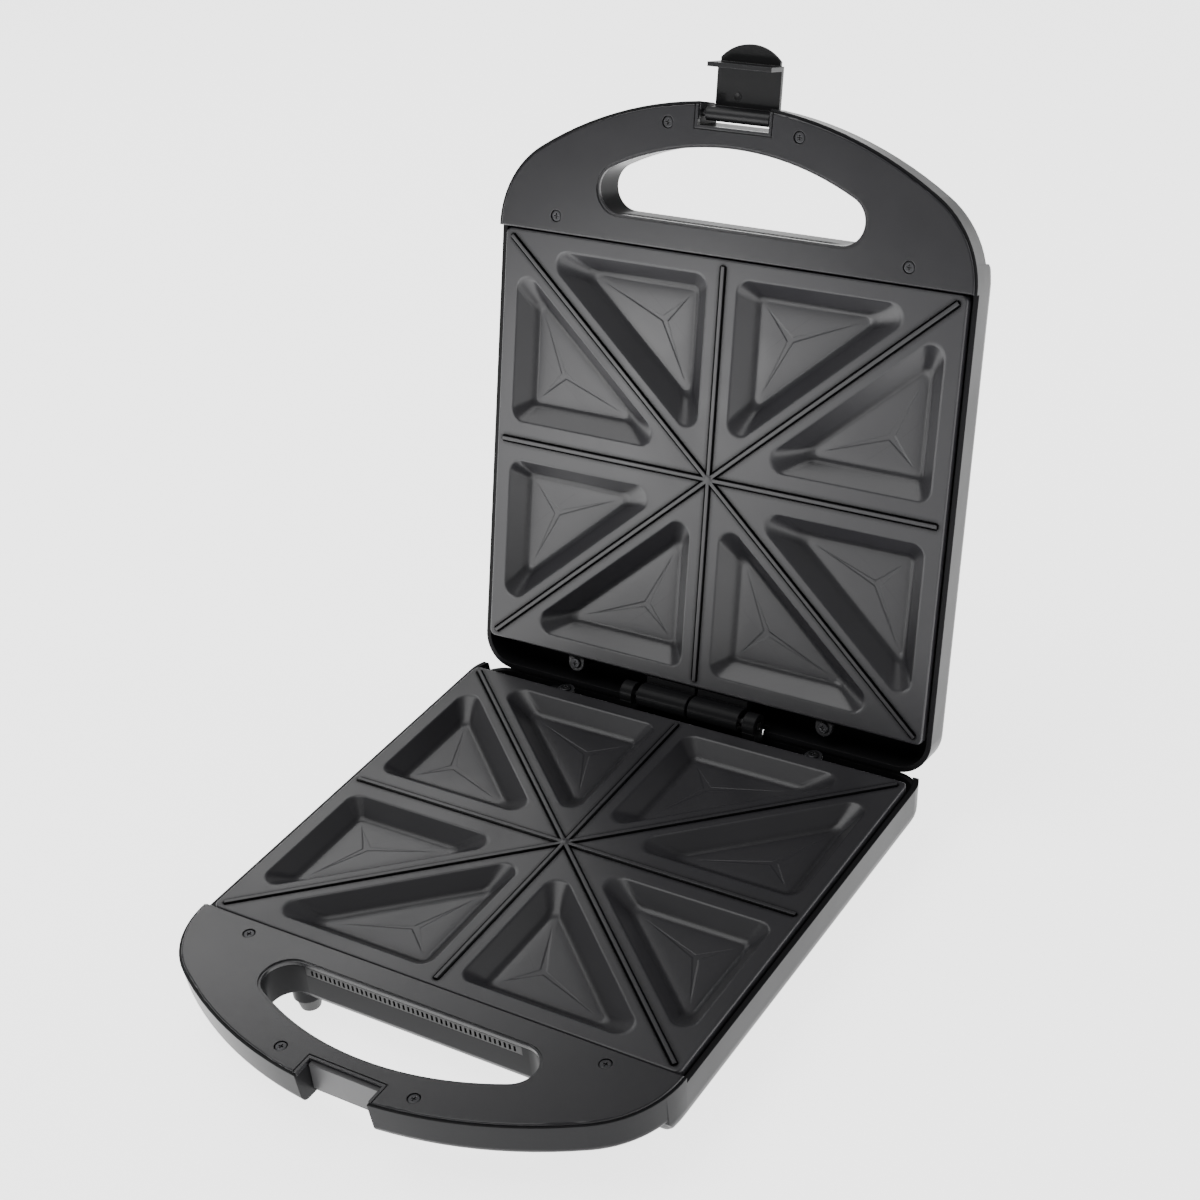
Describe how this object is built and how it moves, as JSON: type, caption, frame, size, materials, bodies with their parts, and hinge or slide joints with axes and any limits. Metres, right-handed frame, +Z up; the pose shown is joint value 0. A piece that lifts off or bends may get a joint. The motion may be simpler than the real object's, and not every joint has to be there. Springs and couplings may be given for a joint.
{
  "type": "sandwich toaster",
  "caption": "Open two-plate sandwich toaster with triangular pockets, hinged lid, D-shaped grips, flip latch and rubber feet.",
  "frame": {"origin": "middle of the open toaster's bounding box in X and Y, on the surface that the feet stand on", "axes": "+Z up, +Y from the handle to the hinge, +X to the right as seen from the handle"},
  "size_m": [0.2654, 0.4164, 0.3543],
  "materials": {
    "shell_plastic": "satin black moulded plastic",
    "cover_plastic": "fine charcoal texture",
    "plate_coating": "satin non-stick coating on cast aluminium",
    "latch_plastic": "satin black moulded plastic",
    "catch_plastic": "grey moulded plastic",
    "vent_plastic": "matt black",
    "screw_steel": "zinc plated",
    "pin_steel": "drawn bright",
    "heater_steel": "annealed, dulled by heat",
    "reflector_sheet": "mill finish",
    "clip_steel": "zinc plated",
    "foot_rubber": "matt",
    "gland_rubber": "matt",
    "terminal_plastic": "white",
    "fuse_sleeve": "woven sleeve, varnished",
    "thermostat_body": "brown phenolic",
    "red_lens": "clear red",
    "green_lens": "clear green",
    "lamp_glass": "clear"
  },
  "bodies": {
    "base": {"base_shell": "shell_plastic", "base_handle_cover": "cover_plastic", "lower_plate": "plate_coating", "lower_heater": "heater_steel", "lower_heater_clamps": "clip_steel", "lower_reflector": "reflector_sheet", "base_handle_screws": "screw_steel", "lower_plate_screws": "screw_steel", "base_vent_strip": "vent_plastic", "latch_catch": "catch_plastic", "hinge_pin": "pin_steel", "cord_gland": "gland_rubber", "terminal_block": "terminal_plastic", "thermal_fuse": "fuse_sleeve", "front_left_foot": "foot_rubber", "front_right_foot": "foot_rubber", "rear_left_foot": "foot_rubber", "rear_right_foot": "foot_rubber"},
    "lid": {"lid_shell": "shell_plastic", "lid_handle_cover": "cover_plastic", "upper_plate": "plate_coating", "upper_heater": "heater_steel", "upper_heater_clamps": "clip_steel", "upper_reflector": "reflector_sheet", "lid_handle_screws": "screw_steel", "upper_plate_screws": "screw_steel", "lid_vent_strip": "vent_plastic", "thermostat": "thermostat_body", "power_lamp_lens": "red_lens", "ready_lamp_lens": "green_lens", "indicator_lamps": "lamp_glass", "latch_pin": "pin_steel"},
    "latch_body": {"latch": "latch_plastic"}
  },
  "joints": [
    {"name": "lid_hinge", "type": "hinge", "parent": "base", "child": "lid", "pos_m": [0, 0.09851, 0.0375], "axis": [1, 0, 0], "range_deg": [0, 106.5]},
    {"name": "latch_pivot", "type": "hinge", "parent": "lid", "child": "latch_body", "pos_m": [0, 0.19018, 0.32407], "axis": [1, 0, 0], "range_deg": [0, 90]}
  ]
}
